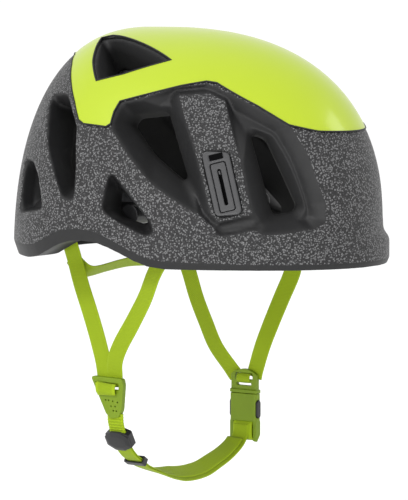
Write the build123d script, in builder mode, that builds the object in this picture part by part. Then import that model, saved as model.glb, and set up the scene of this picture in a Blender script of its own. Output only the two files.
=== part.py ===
from build123d import *
import os
from math import cos, radians, sin, sqrt

# Climbing helmet. Front is -Y, the wearer's left is +X, up is +Z.
# The origin is the centre of the head opening in the plane of the rim.

# ---- driving sizes, mm ----
HALF_WIDTH = 110.0
FRONT_REACH = 172.0
REAR_REACH = 100.0
HEIGHT = 160.0
WIDEST_Y = 34.0
FOAM_THICKNESS = 27.0
BELOW_RIM = 8.0
BROW_HEIGHT = 26.0
REAR_CURL = 28.0
LIP_REACH = 6.0
LIP_HEIGHT = 17.0
LIP_SLOPE = 8.0
LIP_INSET = 3.0
LIP_TUCK = 2.0
RIM_ARCH = 17.0
VENT_RUNOUT = 14.0
SPAN = HALF_WIDTH + 20.0

CAP_THICKNESS = 1.5
CAP_PROUD = 0.3

CLIP_WIDTH = 18.0
CLIP_HEIGHT = 44.0
CLIP_DEPTH = 3.6
CLIP_PROUD = 0.8
CLIP_CORNER = 3.5
TONGUE_WIDTH = 10.0
TONGUE_TOP = 14.0
TONGUE_BOTTOM = -19.0
TONGUE_THICKNESS = 2.2
TONGUE_GAP = 0.5
TONGUE_SLOT = 2.4
TONGUE_SINK = 0.4
LABEL_SINK = 0.7
NIB_WIDTH = 1.4

WEBBING = 13.0
WEBBING_THICKNESS = 1.3
SLOT_CLEARANCE = 0.5
ANCHOR_WIDTH = 18.0
ANCHOR_HEIGHT = 12.0
ANCHOR_THICKNESS = 4.0
ANCHOR_GRIP = 8.0
ANCHOR_CORNER = 2.0
FRONT_ANCHOR_X = HALF_WIDTH - 26.0
REAR_ANCHOR_X = HALF_WIDTH - 36.0
REAR_RIM_X = HALF_WIDTH - 43.0
FRONT_LEFT_SHIFT = -4.0
REAR_LEFT_SHIFT = 6.0

PAD_THICKNESS = 5.0
PIVOT_Y = 2.0
PIVOT_Z = 34.0
ARM_X = HALF_WIDTH - 48.0
ARM_THICKNESS = 2.0
ARM_WIDTH = 14.0
ARM_END_Y = 60.0
SLEEVE_Y = 48.0
SLEEVE_LENGTH = 8.0
PIN_RADIUS = 3.0
POST_RADIUS = 7.0
POST_ROOT_X = HALF_WIDTH - 29.0
POST_HEAD = 1.2
POST_HEAD_RADIUS = 5.0
RUNNING_GAP = 0.05
SIDE_GAP = 0.3
BRIDGE_WIDTH = 12.0
BRIDGE_REAR_Y = 92.0
RATCHET_COUNT = 6
RATCHET_PITCH = 4.0
BROW_PAD_WIDTH = 100.0
BROW_PAD_HEIGHT = 26.0
BROW_PAD_Z = 20.0
CROWN_PAD_WIDTH = 40.0
CROWN_PAD_LENGTH = 110.0
CROWN_PAD_Z = HEIGHT - 70.0

STRAP_X = HALF_WIDTH - 33.0
CHIN_Y = 17.0
DIVIDER_THICKNESS = 4.0
BUCKLE_X = HALF_WIDTH - 30.0
BUCKLE_Y = 16.0
BUCKLE_WIDTH = 23.0
BUCKLE_THICKNESS = 7.0
MALE_TOP = -89.0
MALE_SHOULDER = -93.0
MALE_FLANGE = -104.0
MALE_HALF_WIDTH = 11.0
BUCKLE_JOIN = -106.8
FEMALE_BOTTOM = -127.0
LADDER_BOTTOM = -142.0
BUCKLE_WALL = 1.6
BUCKLE_CORNER = 2.0
BAR_RADIUS = 1.6
TAB_TOP = -111.5
TAB_BOTTOM = -124.5
TAB_THICKNESS = 4.6
TAB_GAP = 0.3
TAB_PROUD = 0.9
TAB_FLANGE = 0.9
TAB_LIP = 1.2
TAB_FLANGE_GAP = 0.2
MALE_THICKNESS = 4.0
PRONG_Y = 5.0
PRONG_WIDTH = 2.0
PRONG_THICKNESS = 3.0
PRONG_LENGTH = 14.0
BARB = 0.4
POCKET_DEPTH = 18.8
EAR_WIDTH = 3.0
LADDER_BAR_Z = -133.0
ADJUSTER_WIDTH = 20.0
ADJUSTER_LENGTH = 15.0
ADJUSTER_THICKNESS = 6.6
KEEPER_LENGTH = 5.0
KEEPER_WALL = 1.2
HOLE_RADIUS = 0.65
HOLES = [(24, -95), (21.5, -95), (18, -95.5), (14, -96), (16, -99), (19.5, -99), (17.5, -102), (15, -102)]


# ---- the dome, as level sections of two half ellipses ----
def half_width(z, inset):
    top = HEIGHT - inset
    return (HALF_WIDTH - inset) * (1 - (max(z, 0) / top) ** 2.2) ** (1 / 2.2)


def front_reach(z, inset):
    top = HEIGHT - inset - BROW_HEIGHT
    return (FRONT_REACH - inset) * (1 - (max(z - BROW_HEIGHT, 0) / top) ** 2.5) ** (1 / 2.5)


def rear_reach(z, inset):
    top = HEIGHT - inset + REAR_CURL
    return (REAR_REACH - inset) * (1 - ((z + REAR_CURL) / top) ** 2.8) ** (1 / 2.8)


def dome(inset):
    levels = [0.06, 0.16, 0.28, 0.41, 0.54, 0.66, 0.77, 0.86, 0.93, 0.975, 0.998]
    with BuildPart() as solid:
        for z in [-BELOW_RIM] + [(HEIGHT - inset) * part for part in levels]:
            with BuildSketch(Plane.XY.offset(z)):
                with BuildLine():
                    side = half_width(z, inset)
                    EllipticalCenterArc((0, WIDEST_Y), side, rear_reach(z, inset), 0, arc_size=180)
                    EllipticalCenterArc((0, WIDEST_Y), side, front_reach(z, inset), 180, arc_size=180)
                make_face()
        loft()
    return solid.part


def side_prism(points, half_span):
    # a prism across the helmet whose outline is given in the side view as (y, z)
    with BuildPart() as solid:
        with BuildSketch(Plane.YZ):
            with BuildLine():
                Polyline(*points, close=True)
            make_face()
        extrude(amount=half_span, both=True)
    return solid.part


def facing(origin, bearing, tilt, turn=0):
    # plane on the right flank whose normal points out at a bearing from the front, turned about it
    out = (
        -sin(radians(bearing)) * cos(radians(tilt)),
        -cos(radians(bearing)) * cos(radians(tilt)),
        sin(radians(tilt)),
    )
    across = Vector(-out[1], out[0], 0).rotate(Axis((0, 0, 0), out), turn)
    return Plane(origin=origin, x_dir=across, z_dir=out)


def vent(plane, mouth, throat, depth, through):
    # tapered mouth down to a smaller throat, then straight on into the head space
    grow = (depth + VENT_RUNOUT) / depth
    wide = [(t[0] + (m[0] - t[0]) * grow, t[1] + (m[1] - t[1]) * grow) for m, t in zip(mouth, throat)]
    with BuildPart() as solid:
        with BuildSketch(plane.offset(-depth)):
            with BuildLine():
                Polyline(*throat, close=True)
            make_face()
        with BuildSketch(plane.offset(VENT_RUNOUT)):
            with BuildLine():
                Polyline(*wide, close=True)
            make_face()
        loft(ruled=True)
        with BuildSketch(plane.offset(-depth)):
            with BuildLine():
                Polyline(*throat, close=True)
            make_face()
        extrude(amount=-through)
        mirror(about=Plane.YZ)
    return solid.part


def strip(start, end, wide, thick):
    # straight flat strip between two points, thin in the direction nearest to X
    along = Vector(*end) - Vector(*start)
    run = along.length
    along = along.normalized()
    flat = Vector(1, 0, 0) - along * along.X
    middle = (Vector(*start) + Vector(*end)) * 0.5
    with BuildPart() as solid:
        with BuildSketch(Plane(origin=middle, x_dir=along, z_dir=flat)):
            Rectangle(run, wide)
        extrude(amount=thick / 2, both=True)
    return solid.part


def ribbon(plane, points, wide, inner, outer):
    # band of webbing that follows a smooth line; its faces lie at two offsets from the line
    sides = []
    for offset in (inner, outer):
        row = []
        for i, (u, v) in enumerate(points):
            before = points[max(i - 1, 0)]
            after = points[min(i + 1, len(points) - 1)]
            du = after[0] - before[0]
            dv = after[1] - before[1]
            size = sqrt(du * du + dv * dv)
            row.append((u - dv / size * offset, v + du / size * offset))
        sides.append(row)
    with BuildPart() as solid:
        with BuildSketch(plane):
            with BuildLine():
                Spline(*sides[0])
                Line(sides[0][-1], sides[1][-1])
                Spline(*sides[1])
                Line(sides[0][0], sides[1][0])
            make_face()
        extrude(amount=wide / 2, both=True)
    return solid.part


# ---- shapes that several pieces are cut from ----
outer_dome = dome(0)
inner_dome = dome(FOAM_THICKNESS)
cap_outer = dome(-CAP_PROUD)
cap_inner = dome(CAP_THICKNESS - CAP_PROUD)
pad_inner = dome(FOAM_THICKNESS + PAD_THICKNESS)

# side outline of the cap: how far back, and how far below the top of the shell
CAP_EDGE = [
    (110, 17), (79, 19), (69, 26), (57, 38), (46, 50), (37, 62), (32, 64.5), (13, 66),
    (10, 64), (10, 56), (8, 49), (-14, 43), (-32, 38), (-47, 35), (-54, 36),
    (-67, 42.5), (-84, 51), (-94, 57), (-104, 63.5), (-118, 68), (-150, 71),
]
cap_outline = [(y, HEIGHT - drop) for y, drop in CAP_EDGE]
cap_region = side_prism(cap_outline + [(-150, HEIGHT + 15), (110, HEIGHT + 15)], SPAN)

V1_MOUTH = [(-38, 30), (-25, 30), (-10, 23), (44, -1), (13, -18), (-6, -25), (-18, -7)]
V1_THROAT = [(-30, 22), (-22, 21), (-9, 16), (28, -1), (10, -11), (-5, -16), (-13, -5)]
top_vents = vent(facing((55 - HALF_WIDTH, 28, HEIGHT - 20), 90, 50), V1_MOUTH, V1_THROAT, 12, 30)

V2_MOUTH = [(-39, 20), (-37, 37), (5, 47), (44, -41), (38, -46), (-5, -15)]
V2_THROAT = [(-33, 25), (-31, 31), (-6, 34), (14, -11), (11, -13), (-13, 4)]
side_vents = vent(facing((22 - HALF_WIDTH, -30, HEIGHT - 85), 80, 15), V2_MOUTH, V2_THROAT, 15, 30)

V3_MOUTH = [(-37, 55), (4, 35), (30, -27), (25, -36), (-14, -37)]
V3_THROAT = [(-20, 32), (-9, 27), (11, -18), (8, -22), (-5, -24)]
front_plane = facing((55 - HALF_WIDTH, 67 - FRONT_REACH, HEIGHT - 98), 52, 8)
front_vents = vent(front_plane, V3_MOUTH, V3_THROAT, 15, 30)

V4_MOUTH = [(-32, 54), (-28, 35), (-12, 1), (11, -37), (20, -38), (18, -15), (12, 15), (-7, 46)]
V4_THROAT = [(-24, 36), (-20, 26), (-9, 0), (6, -22), (11, -22), (10, -10), (6, 12), (-8, 32)]
tall_vents = vent(facing((12 - HALF_WIDTH, 50, HEIGHT - 80), 90, 15), V4_MOUTH, V4_THROAT, 22, 20)

V5_MOUTH = [(-23, 26), (-3, 19), (8, 6), (16, -15), (-18, -22)]
V5_THROAT = [(-18, 14), (-6, 11), (1, 4), (7, -11), (-14, -14)]
rear_vents = vent(facing((12 - HALF_WIDTH, 75, HEIGHT - 108), 100, 5), V5_MOUTH, V5_THROAT, 20, 20)

V6_MOUTH = [(-16, 22), (-19, -3), (-12, -8), (17, -21), (25, -20), (20, -11)]
V6_THROAT = [(-21, 13), (-20, -2), (-15, -7), (4, -12), (6, -12), (4, -7)]
low_vents = vent(facing((8 - HALF_WIDTH, -12, HEIGHT - 118), 90, 8), V6_MOUTH, V6_THROAT, 18, 20)

clip_plane = facing((30 - HALF_WIDTH, 98 - FRONT_REACH, 58), 64, 11.5, 14.4)
CLIP_LEAN = 2.7
CLIP_OUTLINE = [
    (-CLIP_WIDTH / 2, CLIP_HEIGHT / 2 + CLIP_LEAN),
    (CLIP_WIDTH / 2, CLIP_HEIGHT / 2 - CLIP_LEAN),
    (CLIP_WIDTH / 2, -CLIP_HEIGHT / 2 - CLIP_LEAN / 2),
    (-CLIP_WIDTH / 2, -CLIP_HEIGHT / 2 + CLIP_LEAN / 2),
]
CHANNEL = [(-12, -25.5), (13, -25.5), (30, -29), (30, -36), (0, -34), (-10, -33)]
CHANNEL_DEPTH = 6.0

# ---- shell body: foam, cap and what is fixed to them ----
with BuildPart() as crown_cap:
    add(cap_outer)
    add(cap_inner, mode=Mode.SUBTRACT)
    add(cap_region, mode=Mode.INTERSECT)
    add(top_vents, mode=Mode.SUBTRACT)
crown_cap.part.label = "crown_cap"

RIM = [
    (145, 2), (78, 2), (66, 4), (54, 9), (44, 13.5), (34, 16.2), (24, RIM_ARCH), (12, 16),
    (2, 13), (-8, 9), (-18, 4.5), (-28, 1.2), (-38, 0), (-150, 0), (-150, -20), (145, -20),
]
below_rim = side_prism(RIM, SPAN)

with BuildPart() as lip:
    for z, reach in (
        (-BELOW_RIM, LIP_REACH),
        (LIP_HEIGHT, LIP_REACH),
        (LIP_HEIGHT + LIP_SLOPE, -LIP_TUCK),
    ):
        side = HALF_WIDTH - LIP_INSET
        with BuildSketch(Plane.XY.offset(z)):
            with BuildLine():
                EllipticalCenterArc((0, WIDEST_Y), side, FRONT_REACH + reach, 180, arc_size=180)
                Line((-side, WIDEST_Y), (side, WIDEST_Y))
            make_face()
    loft(ruled=True)

# where the straps leave the foam and where they end; the left rim points hang at a shift
FRONT_TOP = (FRONT_ANCHOR_X, -38.0, 24.0)
FRONT_RIM = (FRONT_ANCHOR_X, -21.0, -6.0)
REAR_TOP = (REAR_ANCHOR_X, 63.0, 22.0)
REAR_RIM = (REAR_RIM_X, 59.0, -2.0)
ROUTES = {
    "front_right": (FRONT_TOP, FRONT_RIM, (-STRAP_X, 19.5, -81.0), -1, 0),
    "front_left": (FRONT_TOP, FRONT_RIM, (BUCKLE_X, 8.0, -92.0), 1, FRONT_LEFT_SHIFT),
    "rear_right": (REAR_TOP, REAR_RIM, (-STRAP_X, 29.0, -81.0), -1, 0),
    "rear_left": (REAR_TOP, REAR_RIM, (BUCKLE_X, 26.0, -92.0), 1, REAR_LEFT_SHIFT),
}


def strap_path(name):
    top, rim, end, side, shift = ROUTES[name]
    return (top[0] * side, top[1], top[2]), (rim[0] * side, rim[1] + shift, rim[2]), end


def whole_strap(name):
    first, second, end = strap_path(name)
    with BuildPart() as solid:
        add(strip(first, second, WEBBING, WEBBING_THICKNESS))
        add(strip(second, end, WEBBING, WEBBING_THICKNESS))
    return solid.part


def strap_slot(name):
    first, second, end = strap_path(name)
    return strip(first, second, WEBBING + 2 * SLOT_CLEARANCE, WEBBING_THICKNESS + 2 * SLOT_CLEARANCE)


def anchor_block(name):
    first, second, end = strap_path(name)
    along = (Vector(*second) - Vector(*first)).normalized()
    flat = Vector(1, 0, 0) - along * along.X
    with BuildPart() as solid:
        with BuildSketch(Plane(origin=first, x_dir=along, z_dir=flat)):
            with Locations((ANCHOR_GRIP - ANCHOR_HEIGHT / 2, 0)):
                RectangleRounded(ANCHOR_HEIGHT, ANCHOR_WIDTH, ANCHOR_CORNER)
        extrude(amount=ANCHOR_THICKNESS / 2, both=True)
    return solid.part


straps = {}
for name in ROUTES:
    straps[name] = whole_strap(name)

with BuildPart() as pivot_posts:
    for side in (-1, 1):
        root = Plane(origin=(side * POST_ROOT_X, PIVOT_Y, PIVOT_Z), z_dir=(-side, 0, 0))
        arm_face = POST_ROOT_X - ARM_X - ARM_THICKNESS / 2 - SIDE_GAP
        with BuildSketch(root):
            Circle(POST_RADIUS)
        extrude(amount=arm_face)
        with BuildSketch(root.offset(arm_face)):
            Circle(PIN_RADIUS)
        extrude(amount=ARM_THICKNESS + 2 * SIDE_GAP)
        with BuildSketch(root.offset(arm_face + ARM_THICKNESS + 2 * SIDE_GAP)):
            Circle(POST_HEAD_RADIUS)
        extrude(amount=POST_HEAD)
pivot_posts.part.label = "pivot_posts"

with BuildPart() as foam_shell:
    add(outer_dome)
    add(lip.part)
    add(below_rim, mode=Mode.SUBTRACT)
    add(inner_dome, mode=Mode.SUBTRACT)
    add(cap_region & cap_outer - cap_inner, mode=Mode.SUBTRACT)
    for cutter in (top_vents, side_vents, front_vents, tall_vents, rear_vents, low_vents):
        add(cutter, mode=Mode.SUBTRACT)
    with BuildSketch(clip_plane.offset(-CHANNEL_DEPTH)):
        with BuildLine():
            Polyline(*CHANNEL, close=True)
        make_face()
    channel_cut = extrude(amount=CHANNEL_DEPTH + VENT_RUNOUT, mode=Mode.SUBTRACT)
    mirror(channel_cut, about=Plane.YZ, mode=Mode.SUBTRACT)
    with BuildSketch(clip_plane.offset(-CLIP_DEPTH)):
        with BuildLine():
            Polyline(*CLIP_OUTLINE, close=True)
        make_face()
        fillet(vertices(), CLIP_CORNER)
    pocket_cut = extrude(amount=CLIP_DEPTH + VENT_RUNOUT, mode=Mode.SUBTRACT)
    mirror(pocket_cut, about=Plane.YZ, mode=Mode.SUBTRACT)
    for name in ROUTES:
        add(anchor_block(name), mode=Mode.SUBTRACT)
        add(strap_slot(name), mode=Mode.SUBTRACT)
    add(pivot_posts.part, mode=Mode.SUBTRACT)
foam_shell.part.label = "foam_shell"

with BuildPart() as clip_base_right:
    with BuildSketch(clip_plane.offset(-CLIP_DEPTH)):
        with BuildLine():
            Polyline(*CLIP_OUTLINE, close=True)
        make_face()
        fillet(vertices(), CLIP_CORNER)
    extrude(amount=CLIP_DEPTH + CLIP_PROUD)
    clip_out = Axis(clip_plane.origin, clip_plane.z_dir)
    fillet(clip_base_right.faces().sort_by(clip_out)[-1].outer_wire().edges(), 0.5)
    with BuildSketch(clip_plane.offset(CLIP_PROUD - TONGUE_SINK - TONGUE_THICKNESS - TONGUE_GAP)):
        with Locations((0, (TONGUE_TOP + TONGUE_BOTTOM) / 2)):
            RectangleRounded(
                TONGUE_WIDTH + 2 * TONGUE_GAP, TONGUE_TOP - TONGUE_BOTTOM + 2 * TONGUE_GAP, 1.5
            )
    extrude(amount=CLIP_DEPTH + CLIP_PROUD, mode=Mode.SUBTRACT)
    with BuildSketch(clip_plane.offset(CLIP_PROUD - LABEL_SINK)):
        with Locations((0, TONGUE_TOP + 4.4)):
            RectangleRounded(TONGUE_WIDTH, 4.4, 1)
    extrude(amount=CLIP_DEPTH, mode=Mode.SUBTRACT)
    with BuildSketch(clip_plane.offset(CLIP_PROUD - TONGUE_SINK - TONGUE_THICKNESS - TONGUE_GAP)):
        with Locations((0, TONGUE_TOP - 6.5)):
            Rectangle(NIB_WIDTH, 2.5)
    extrude(amount=TONGUE_THICKNESS + TONGUE_GAP)
clip_base_right.part.label = "clip_base_right"

with BuildPart() as clip_base_left:
    mirror(clip_base_right.part, about=Plane.YZ)
clip_base_left.part.label = "clip_base_left"

with BuildPart() as clip_tongue_right:
    with BuildSketch(clip_plane.offset(CLIP_PROUD - TONGUE_SINK - TONGUE_THICKNESS)):
        with Locations((0, (TONGUE_TOP + TONGUE_BOTTOM) / 2)):
            RectangleRounded(TONGUE_WIDTH, TONGUE_TOP - TONGUE_BOTTOM, 1.4)
        with Locations((0, (TONGUE_TOP + TONGUE_BOTTOM) / 2)):
            SlotOverall(TONGUE_TOP - TONGUE_BOTTOM - 8, TONGUE_SLOT, rotation=90, mode=Mode.SUBTRACT)
    extrude(amount=TONGUE_THICKNESS)
clip_tongue_right.part.label = "clip_tongue_right"

with BuildPart() as clip_tongue_left:
    mirror(clip_tongue_right.part, about=Plane.YZ)
clip_tongue_left.part.label = "clip_tongue_left"

# moulded-in anchors, each gripping the end of one strap
with BuildPart() as anchor_front_right:
    add(anchor_block("front_right"))
    add(straps["front_right"], mode=Mode.SUBTRACT)
anchor_front_right.part.label = "anchor_front_right"

with BuildPart() as anchor_front_left:
    add(anchor_block("front_left"))
    add(straps["front_left"], mode=Mode.SUBTRACT)
anchor_front_left.part.label = "anchor_front_left"

with BuildPart() as anchor_rear_right:
    add(anchor_block("rear_right"))
    add(straps["rear_right"], mode=Mode.SUBTRACT)
anchor_rear_right.part.label = "anchor_rear_right"

with BuildPart() as anchor_rear_left:
    add(anchor_block("rear_left"))
    add(straps["rear_left"], mode=Mode.SUBTRACT)
anchor_rear_left.part.label = "anchor_rear_left"

# comfort pads follow the inside of the foam
with BuildPart() as brow_pad:
    add(inner_dome)
    add(pad_inner, mode=Mode.SUBTRACT)
    with BuildSketch(Plane.XZ.offset(60)):
        with Locations((0, BROW_PAD_Z)):
            RectangleRounded(BROW_PAD_WIDTH, BROW_PAD_HEIGHT, 8)
    extrude(amount=100, mode=Mode.INTERSECT)
brow_pad.part.label = "brow_pad"

with BuildPart() as crown_pad:
    add(inner_dome)
    add(pad_inner, mode=Mode.SUBTRACT)
    with BuildSketch(Plane.XY.offset(CROWN_PAD_Z)):
        with Locations((0, WIDEST_Y - 10)):
            RectangleRounded(CROWN_PAD_WIDTH, CROWN_PAD_LENGTH, CROWN_PAD_WIDTH / 2 - 0.1)
    extrude(amount=80, mode=Mode.INTERSECT)
crown_pad.part.label = "crown_pad"

# ---- cradle: two arms on the pivot posts and a nape bridge that slides on them ----
def cradle_arm(side):
    with BuildPart() as solid:
        with BuildSketch(Plane.YZ.offset(side * ARM_X)):
            with Locations(((PIVOT_Y + ARM_END_Y) / 2, PIVOT_Z)):
                SlotOverall(ARM_END_Y - PIVOT_Y + ARM_WIDTH, ARM_WIDTH)
            with Locations((PIVOT_Y, PIVOT_Z)):
                Circle(PIN_RADIUS + RUNNING_GAP, mode=Mode.SUBTRACT)
            for i in range(RATCHET_COUNT):
                with Locations((SLEEVE_Y - 4 - i * RATCHET_PITCH, PIVOT_Z)):
                    SlotOverall(5, 1.6, rotation=90, mode=Mode.SUBTRACT)
        extrude(amount=ARM_THICKNESS / 2, both=True)
    return solid.part


with BuildPart() as cradle_arm_right:
    add(cradle_arm(-1))
cradle_arm_right.part.label = "cradle_arm_right"

with BuildPart() as cradle_arm_left:
    add(cradle_arm(1))
cradle_arm_left.part.label = "cradle_arm_left"

BRIDGE_X = ARM_X - ARM_THICKNESS / 2 - SIDE_GAP - ARM_THICKNESS / 2
with BuildPart() as nape_bridge:
    with BuildSketch(Plane.XY.offset(PIVOT_Z - BRIDGE_WIDTH / 2)):
        with BuildLine():
            for grow in (ARM_THICKNESS / 2, -ARM_THICKNESS / 2):
                reach = BRIDGE_REAR_Y - ARM_END_Y + grow
                EllipticalCenterArc((0, ARM_END_Y), BRIDGE_X + grow, reach, 0, arc_size=180)
                for side in (-1, 1):
                    Line((side * (BRIDGE_X + grow), ARM_END_Y), (side * (BRIDGE_X + grow), SLEEVE_Y))
            for side in (-1, 1):
                Line(
                    (side * (BRIDGE_X + ARM_THICKNESS / 2), SLEEVE_Y),
                    (side * (BRIDGE_X - ARM_THICKNESS / 2), SLEEVE_Y),
                )
        make_face()
    extrude(amount=BRIDGE_WIDTH)
    for side in (-1, 1):
        with BuildSketch(Plane.XZ.offset(-SLEEVE_Y)):
            with Locations((side * ARM_X, PIVOT_Z)):
                Rectangle(
                    ARM_THICKNESS + 2 * SIDE_GAP + 2 * ARM_THICKNESS,
                    ARM_WIDTH + 2 * SIDE_GAP + 2 * ARM_THICKNESS,
                )
                Rectangle(
                    ARM_THICKNESS + 2 * SIDE_GAP, ARM_WIDTH + 2 * SIDE_GAP, mode=Mode.SUBTRACT
                )
        extrude(amount=SLEEVE_LENGTH)
nape_bridge.part.label = "nape_bridge"

with BuildPart() as nape_pad:
    with BuildSketch(Plane.XY.offset(PIVOT_Z - BRIDGE_WIDTH / 2 - 2)):
        Ellipse(BRIDGE_X - ARM_THICKNESS / 2, BRIDGE_REAR_Y - ARM_END_Y - ARM_THICKNESS / 2)
        Ellipse(
            BRIDGE_X - ARM_THICKNESS / 2 - PAD_THICKNESS,
            BRIDGE_REAR_Y - ARM_END_Y - ARM_THICKNESS / 2 - PAD_THICKNESS,
            mode=Mode.SUBTRACT,
        )
        with Locations((0, 30)):
            Rectangle(70, 60, mode=Mode.INTERSECT)
    extrude(amount=BRIDGE_WIDTH + 4)
nape_pad.part.locate(Location((0, ARM_END_Y, 0)))
nape_pad.part.label = "nape_pad"

# ---- straps ----
DIVIDER_TOP = -79.5
DIVIDER = [(37, -79), (10, DIVIDER_TOP), (9, -84), (10.5, -101), (13, -106.5), (20, -107.5), (24, -104)]
DIVIDER_SLOT = [(33, -82.6), (13, -83), (13, -87.5), (31, -87.5)]
LOOP_TOP = DIVIDER_TOP + WEBBING_THICKNESS + 0.5
BUCKLE_LOOP_TOP = MALE_TOP + WEBBING_THICKNESS


def trimmed(strap, low):
    with BuildPart() as solid:
        add(strap)
        with BuildSketch(Plane.XY.offset(low)):
            Rectangle(300, 300)
        extrude(amount=-50, mode=Mode.SUBTRACT)
    return solid.part


with BuildPart() as strap_front_right:
    add(trimmed(straps["front_right"], LOOP_TOP))
strap_front_right.part.label = "strap_front_right"

with BuildPart() as strap_rear_right:
    add(trimmed(straps["rear_right"], LOOP_TOP))
    add(strap_front_right.part, mode=Mode.SUBTRACT)
strap_rear_right.part.label = "strap_rear_right"

with BuildPart() as strap_front_left:
    add(trimmed(straps["front_left"], BUCKLE_LOOP_TOP))
strap_front_left.part.label = "strap_front_left"

with BuildPart() as strap_rear_left:
    add(trimmed(straps["rear_left"], BUCKLE_LOOP_TOP))
    add(strap_front_left.part, mode=Mode.SUBTRACT)
strap_rear_left.part.label = "strap_rear_left"

NAPE_LINE = [
    (2.7 - REAR_RIM_X, 9), (2.8 - REAR_RIM_X, 3), (7 - REAR_RIM_X, -3.2), (17 - REAR_RIM_X, -4),
    (-25, -1.5), (0, 0),
]
nape_plane = Plane(origin=(0, 57.5, -6.5), x_dir=(1, 0, 0), z_dir=(0, -0.77, 0.63))
with BuildPart() as nape_strap:
    nape_half = [(-u, v) for u, v in reversed(NAPE_LINE[:-1])]
    add(ribbon(nape_plane, NAPE_LINE + nape_half, WEBBING, -WEBBING_THICKNESS / 2, WEBBING_THICKNESS / 2))
nape_strap.part.label = "nape_strap"

with BuildPart() as strap_divider:
    with BuildSketch(Plane.YZ.offset(-STRAP_X)):
        with BuildLine():
            Polyline(*DIVIDER, close=True)
        make_face()
        fillet(vertices(), 1.5)
        with BuildLine():
            Polyline(*DIVIDER_SLOT, close=True)
        make_face(mode=Mode.SUBTRACT)
        for y, z in HOLES:
            with Locations((y, z)):
                Circle(HOLE_RADIUS, mode=Mode.SUBTRACT)
    extrude(amount=DIVIDER_THICKNESS / 2, both=True)
strap_divider.part.label = "strap_divider"


def loop_ring(x, y, wide, top, bar_height, bar_thick):
    # webbing wrapped round a bar: a closed band with the bar's outline inside it
    with BuildPart() as solid:
        with BuildSketch(Plane.XZ.offset(-y)):
            with Locations((x, top - bar_height / 2)):
                Rectangle(bar_thick + 2 * WEBBING_THICKNESS, bar_height + 2 * WEBBING_THICKNESS)
                Rectangle(bar_thick, bar_height, mode=Mode.SUBTRACT)
        extrude(amount=wide / 2, both=True)
    return solid.part


with BuildPart() as divider_loop:
    add(loop_ring(-STRAP_X, 23, 18, LOOP_TOP - WEBBING_THICKNESS, 4, DIVIDER_THICKNESS))
divider_loop.part.label = "divider_loop"

with BuildPart() as buckle_loop:
    add(loop_ring(BUCKLE_X, BUCKLE_Y, WEBBING, MALE_TOP, 3, MALE_THICKNESS))
buckle_loop.part.label = "buckle_loop"

# chin webbing: its line seen from the front, from the divider round to the buckle
chin_plane = Plane(origin=(0, CHIN_Y, 0), x_dir=(1, 0, 0), z_dir=(0, -1, 0))
ADJUSTER_AT = (5.8 - STRAP_X, -121.9)
ADJUSTER_ALONG = (0.5, -0.866)
KEEPER_AT = (23.8 - STRAP_X, -139.5)
KEEPER_ALONG = (0.85, -0.527)


def on_line(at, along, distance):
    return (at[0] + along[0] * distance, at[1] + along[1] * distance)


LOWER_LINE = [
    (-STRAP_X, DIVIDER[5][1] - 0.1),
    (0.6 - STRAP_X, -110.5),
    on_line(ADJUSTER_AT, ADJUSTER_ALONG, -7.8),
]
# the slack under the chin, as shares of the way out to the buckle
CHIN_DIP = [
    (-0.4, -150), (-0.2125, -155), (0, -158.5), (0.175, -159.5), (0.35, -158.3), (0.525, -154.3),
    (0.6825, -150), (0.825, -144.5), (0.90625, -139.6), (0.9525, -135.6),
]
CHIN_LINE = [
    on_line(ADJUSTER_AT, ADJUSTER_ALONG, -6),
    ADJUSTER_AT,
    on_line(ADJUSTER_AT, ADJUSTER_ALONG, 7),
    on_line(KEEPER_AT, KEEPER_ALONG, -9),
    KEEPER_AT,
    on_line(KEEPER_AT, KEEPER_ALONG, 9),
] + [(share * BUCKLE_X, z) for share, z in CHIN_DIP]

with BuildPart() as lower_strap:
    add(ribbon(chin_plane, LOWER_LINE, WEBBING, -WEBBING_THICKNESS, WEBBING_THICKNESS))
lower_strap.part.label = "lower_strap"

with BuildPart() as chin_strap:
    add(ribbon(chin_plane, CHIN_LINE, WEBBING, -WEBBING_THICKNESS, 0))
chin_strap.part.label = "chin_strap"

with BuildPart() as strap_tail:
    add(ribbon(chin_plane, CHIN_LINE[:8], WEBBING, 0, WEBBING_THICKNESS))
strap_tail.part.label = "strap_tail"


def strap_frame(at, along):
    return Plane(origin=(at[0], CHIN_Y, at[1]), x_dir=(0, 1, 0), z_dir=(along[0], 0, along[1]))


with BuildPart() as strap_adjuster:
    with BuildSketch(strap_frame(ADJUSTER_AT, ADJUSTER_ALONG).offset(-ADJUSTER_LENGTH / 2)):
        RectangleRounded(ADJUSTER_WIDTH, ADJUSTER_THICKNESS, 1.4)
        Rectangle(WEBBING + 2 * SLOT_CLEARANCE, 2 * (WEBBING_THICKNESS + SLOT_CLEARANCE), mode=Mode.SUBTRACT)
    extrude(amount=ADJUSTER_LENGTH)
strap_adjuster.part.label = "strap_adjuster"

with BuildPart() as strap_keeper:
    with BuildSketch(strap_frame(KEEPER_AT, KEEPER_ALONG).offset(-KEEPER_LENGTH / 2)):
        RectangleRounded(
            WEBBING + 2 * SLOT_CLEARANCE + 2 * KEEPER_WALL,
            2 * (WEBBING_THICKNESS + SLOT_CLEARANCE) + 2 * KEEPER_WALL,
            1,
        )
        Rectangle(WEBBING + 2 * SLOT_CLEARANCE, 2 * (WEBBING_THICKNESS + SLOT_CLEARANCE), mode=Mode.SUBTRACT)
    extrude(amount=KEEPER_LENGTH)
strap_keeper.part.label = "strap_keeper"

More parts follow.
